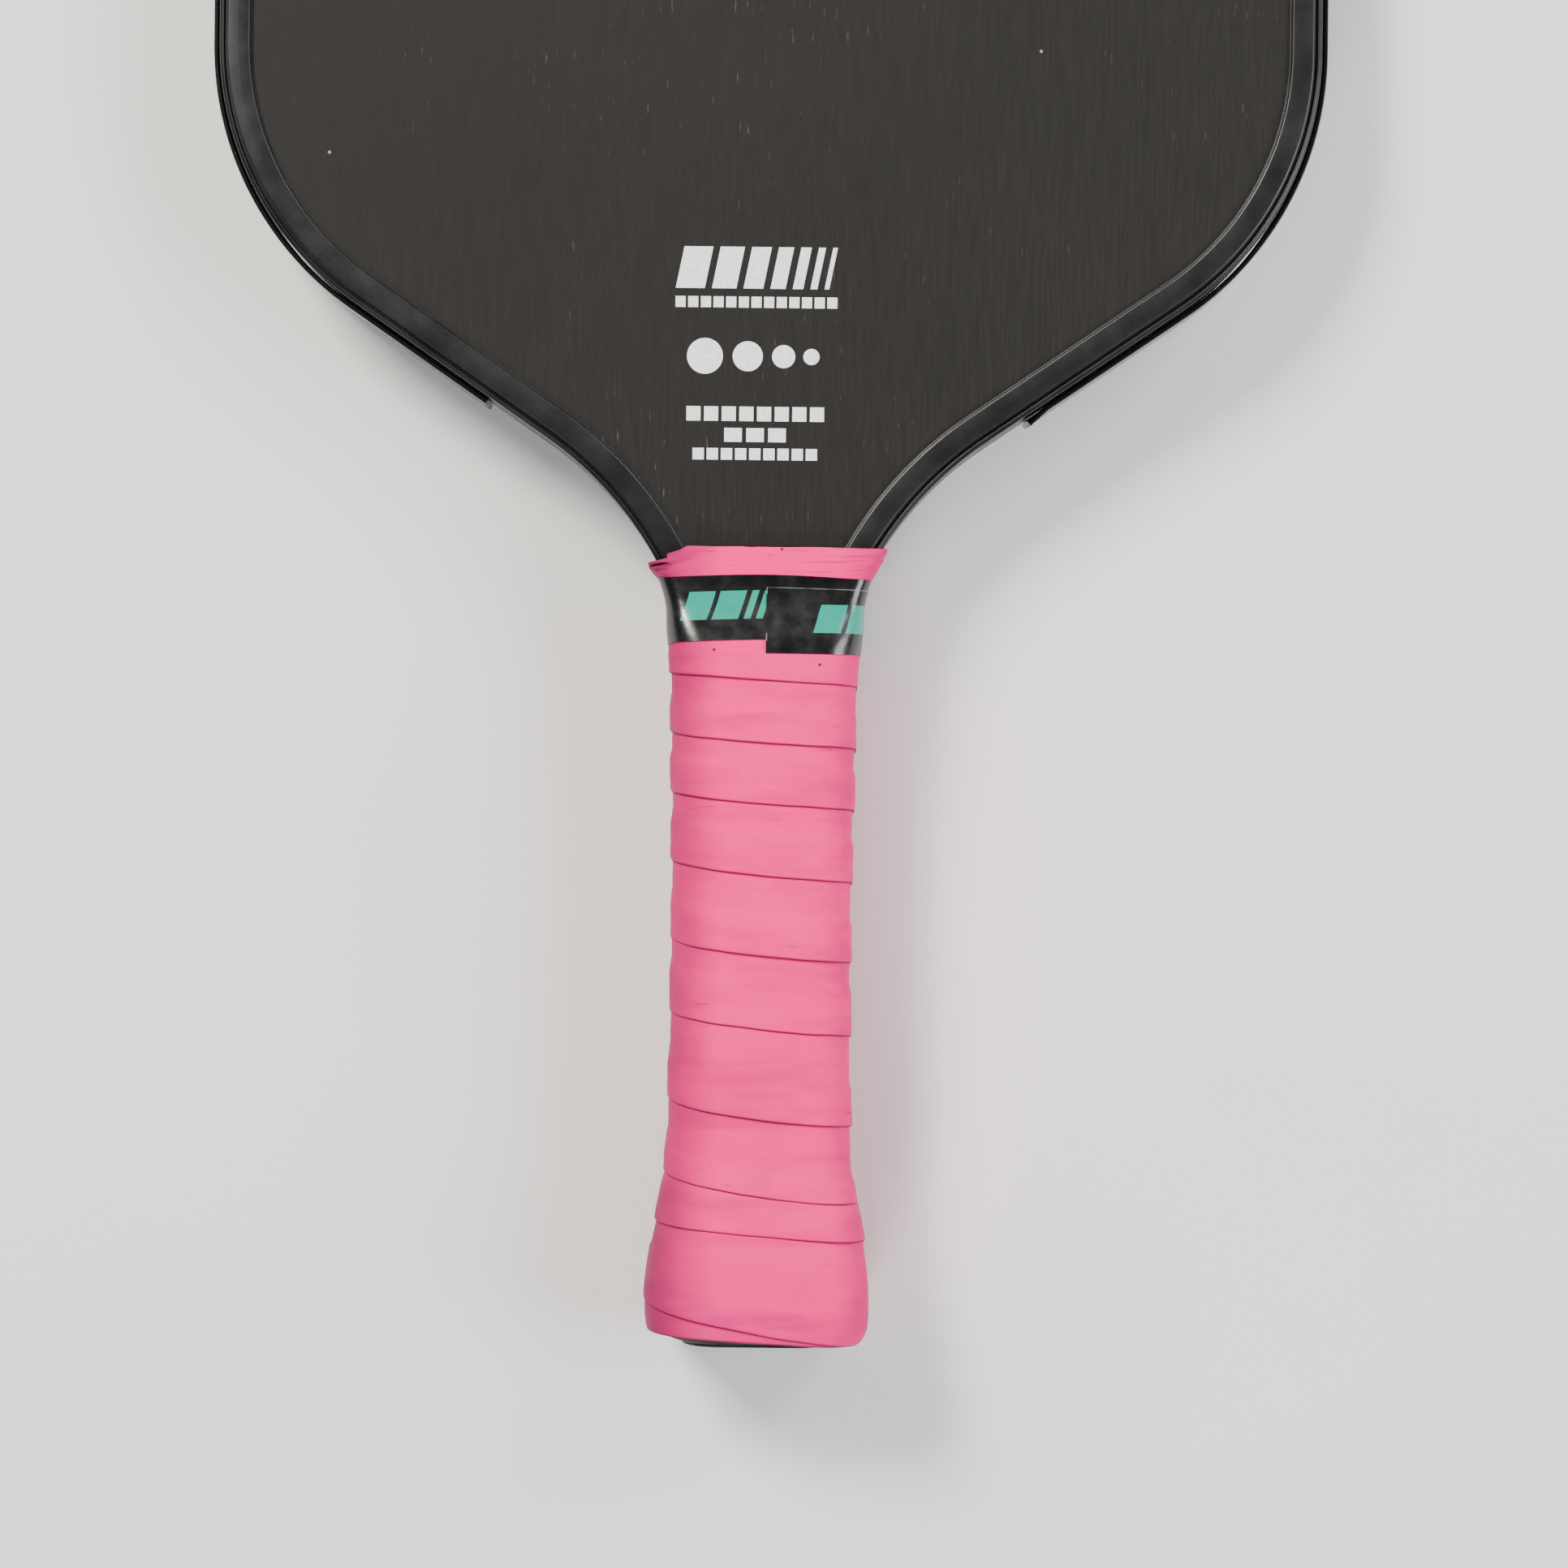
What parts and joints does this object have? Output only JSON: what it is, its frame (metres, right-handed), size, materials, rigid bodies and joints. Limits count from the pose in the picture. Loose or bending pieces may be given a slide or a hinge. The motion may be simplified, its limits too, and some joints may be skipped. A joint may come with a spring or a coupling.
{
  "type": "pickleball paddle",
  "caption": "Elongated pickleball paddle with carbon faces over a foam core, a black edge guard and a pink wrapped grip",
  "frame": {"origin": "centre of the butt's end face, on the paddle's middle plane", "axes": "+Y from the butt to the top of the head, +Z out of the front face, +X to the right seen from the front"},
  "size_m": [0.193, 0.4203, 0.032],
  "materials": {
    "carbon_face": "matt peel-ply texture",
    "glass_ply": "translucent resin and glass cloth",
    "epp_foam": "expanded bead foam",
    "eva_foam": "closed-cell foam",
    "dense_foam": "cast structural foam",
    "guard": "satin extruded",
    "edge_tape": "smooth tape",
    "handle_plastic": "moulded",
    "cap_plastic": "moulded satin",
    "label": "printed vinyl",
    "staple_steel": "bright wire",
    "base_grip": "cushioned synthetic leather",
    "cloth_tape": "adhesive cloth tape",
    "overgrip": "tacky polyurethane, matt",
    "finishing_tape": "glossy vinyl tape"
  },
  "bodies": {
    "root": {"front_carbon_skin": "carbon_face", "back_carbon_skin": "carbon_face", "front_glass_ply": "glass_ply", "back_glass_ply": "glass_ply", "foam_core": "epp_foam", "core_ring": "eva_foam", "rim_wall": "dense_foam", "handle_tongue": "dense_foam", "edge_guard": "guard", "edge_tape": "edge_tape", "front_handle_shell": "handle_plastic", "back_handle_shell": "handle_plastic", "butt_cap": "cap_plastic", "butt_label": "label", "cap_staple_front": "staple_steel", "cap_staple_back": "staple_steel", "base_grip": "base_grip", "base_grip_tape": "cloth_tape", "overgrip": "overgrip", "finishing_tape": "finishing_tape"}
  },
  "joints": []
}
